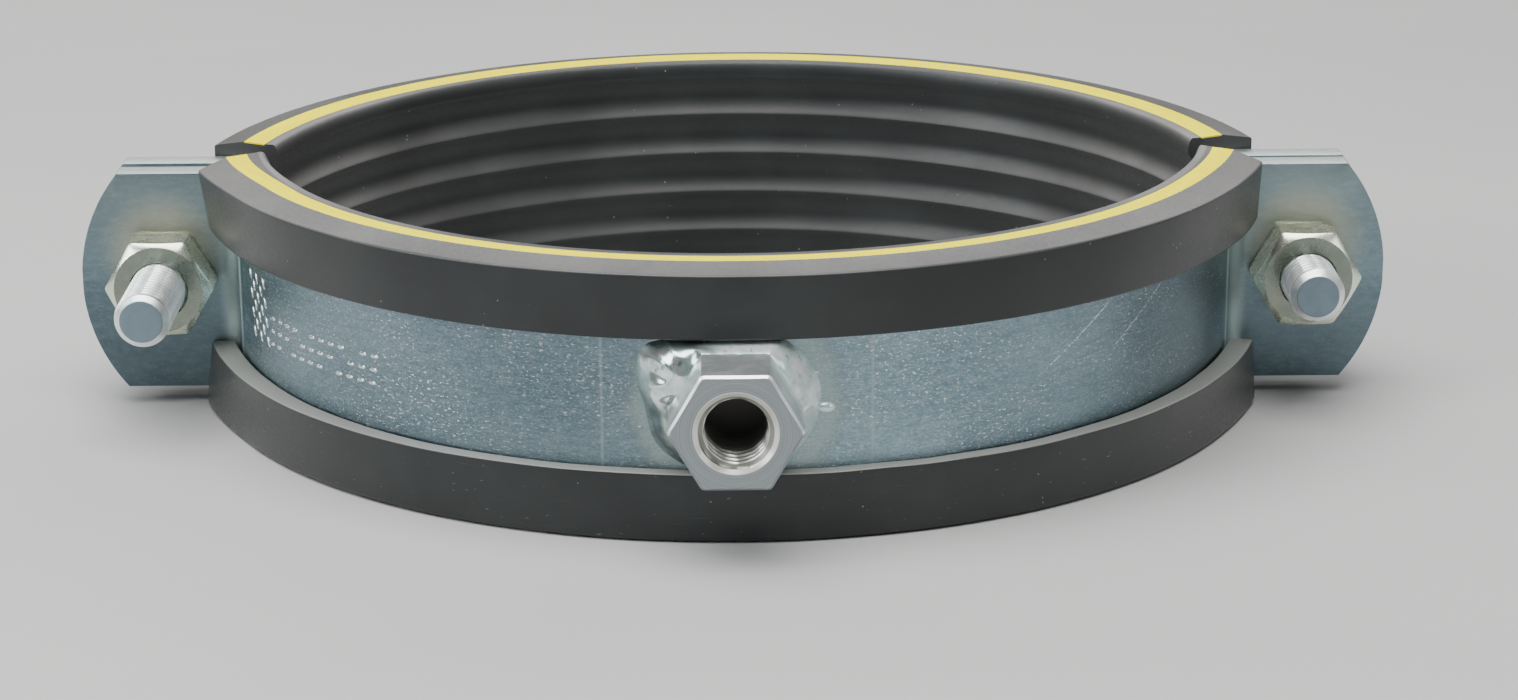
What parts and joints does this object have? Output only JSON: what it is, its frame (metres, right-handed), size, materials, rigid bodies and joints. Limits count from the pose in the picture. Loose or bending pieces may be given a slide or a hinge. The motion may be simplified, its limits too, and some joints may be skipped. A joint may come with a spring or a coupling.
{
  "type": "pipe clamp",
  "caption": "Two-part bolted pipe clamp of flat steel strip with moulded rubber liners and a welded threaded connection nut.",
  "frame": {"origin": "on the pipe axis, at the lower face of the liners", "axes": "+Z along the pipe axis, up from the face the clamp lies on; -Y out of the connection nut; +X from the left ear to the right ear, seen from the connection nut"},
  "size_m": [0.2358, 0.178, 0.046],
  "materials": {
    "zinc_strip": "bright zinc plating with a blue-grey tone",
    "rubber": "smooth matt EPDM",
    "stripe": "matt yellow, co-extruded with the liner",
    "connection_steel": "machined, zinc plated",
    "weld": "rippled, plated weld metal",
    "bolt_steel": "bright zinc plating",
    "nut_zinc": "zinc plating with a yellow-green iridescence"
  },
  "bodies": {
    "rear_half": {"rear_band": "zinc_strip", "rear_liner": "rubber", "rear_liner_stripe": "stripe", "left_bolt": "bolt_steel", "right_bolt": "bolt_steel"},
    "front_half": {"front_band": "zinc_strip", "front_liner": "rubber", "front_liner_stripe": "stripe", "connection_nut": "connection_steel", "weld_bead": "weld"},
    "left_nut": {"left_nut": "nut_zinc"},
    "right_nut": {"right_nut": "nut_zinc"}
  },
  "joints": [
    {"name": "opening", "type": "slide", "parent": "rear_half", "child": "front_half", "axis": [0, -1, 0], "range_m": [-0.0011, 0.009]},
    {"name": "left_nut_turn", "type": "hinge", "parent": "front_half", "child": "left_nut", "pos_m": [-0.103, -0.0102, 0.0237], "axis": [0, -1, 0], "range_deg": [-265, 2161]},
    {"name": "right_nut_turn", "type": "hinge", "parent": "front_half", "child": "right_nut", "pos_m": [0.103, -0.0096, 0.0237], "axis": [0, -1, 0], "range_deg": [-265, 2161]}
  ],
  "couplings": [
    {"joint": "left_nut_turn", "follows": "opening", "rad_per_m": 4188.8},
    {"joint": "right_nut_turn", "follows": "opening", "rad_per_m": 4188.8}
  ]
}
